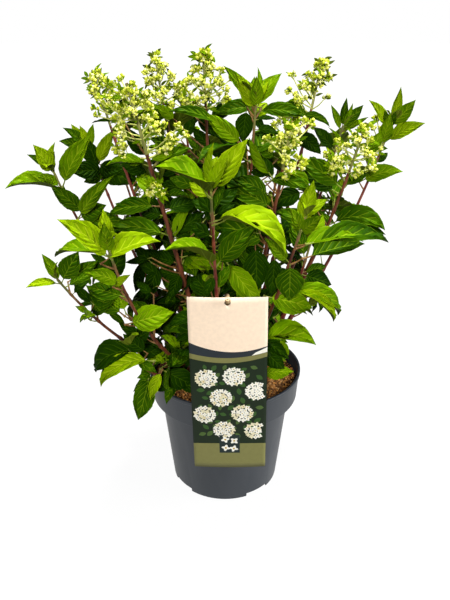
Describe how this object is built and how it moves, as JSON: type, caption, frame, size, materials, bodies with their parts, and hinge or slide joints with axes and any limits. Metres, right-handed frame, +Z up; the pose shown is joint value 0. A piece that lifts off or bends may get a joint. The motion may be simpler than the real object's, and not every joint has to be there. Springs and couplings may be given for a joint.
{
  "type": "potted panicle hydrangea",
  "caption": "Bushy panicle hydrangea in bud, with serrated leaves on upright red-brown canes, in a round grey nursery pot with a hang label.",
  "frame": {"origin": "centre of the pot's flat underside", "axes": "+Z up, -Y towards the side where the label hangs, +X to the right of someone who faces the label"},
  "size_m": [0.4644, 0.4225, 0.5396],
  "materials": {
    "pot_plastic": "satin slate grey",
    "growing_medium": "loose brown bark and peat",
    "old_wood": "rough brown bark",
    "bark": "smooth red-brown bark",
    "foliage": "soft green leaves and yellow-green buds",
    "label_card": "printed card with a satin film",
    "cut_wood": "dry cut wood"
  },
  "bodies": {
    "root": {"pot": "pot_plastic", "soil": "growing_medium", "woody_foot": "old_wood", "label": "label_card", "pruned_stub": "cut_wood", "bough_far_left": "bark", "bough_left_plume": "bark", "bough_front_left_plume": "bark", "bough_back_left_plume": "bark", "bough_mid_left_plume": "bark", "bough_centre_plume": "bark", "bough_centre_leafy": "bark", "bough_right_plume": "bark", "bough_mid_right_plume": "bark", "bough_right_low_plume": "bark", "bough_far_right": "bark", "bough_right_leafy": "bark", "bough_front_right": "bark", "bough_front_centre": "bark", "bough_front_left_low": "bark", "bough_front_left_far": "bark", "bough_left_leafy": "bark", "bough_mid_left_leafy": "bark", "bough_mid_right_leafy": "bark", "bough_low_right": "bark", "bough_low_left": "bark", "bough_back_centre": "bark", "bough_back_right": "bark", "bough_back_right_plume": "bark", "bough_back_left_low": "bark", "bough_back_low": "bark", "bough_back_far_right": "bark", "foliage_far_left": "foliage", "foliage_left_plume": "foliage", "foliage_front_left_plume": "foliage", "foliage_back_left_plume": "foliage", "foliage_mid_left_plume": "foliage", "foliage_centre_plume": "foliage", "foliage_centre_leafy": "foliage", "foliage_right_plume": "foliage", "foliage_mid_right_plume": "foliage", "foliage_right_low_plume": "foliage", "foliage_far_right": "foliage", "foliage_right_leafy": "foliage", "foliage_front_right": "foliage", "foliage_front_centre": "foliage", "foliage_front_left_low": "foliage", "foliage_front_left_far": "foliage", "foliage_left_leafy": "foliage", "foliage_mid_left_leafy": "foliage", "foliage_mid_right_leafy": "foliage", "foliage_low_right": "foliage", "foliage_low_left": "foliage", "foliage_back_centre": "foliage", "foliage_back_right": "foliage", "foliage_back_right_plume": "foliage", "foliage_back_left_low": "foliage", "foliage_back_low": "foliage", "foliage_back_far_right": "foliage"}
  },
  "joints": []
}
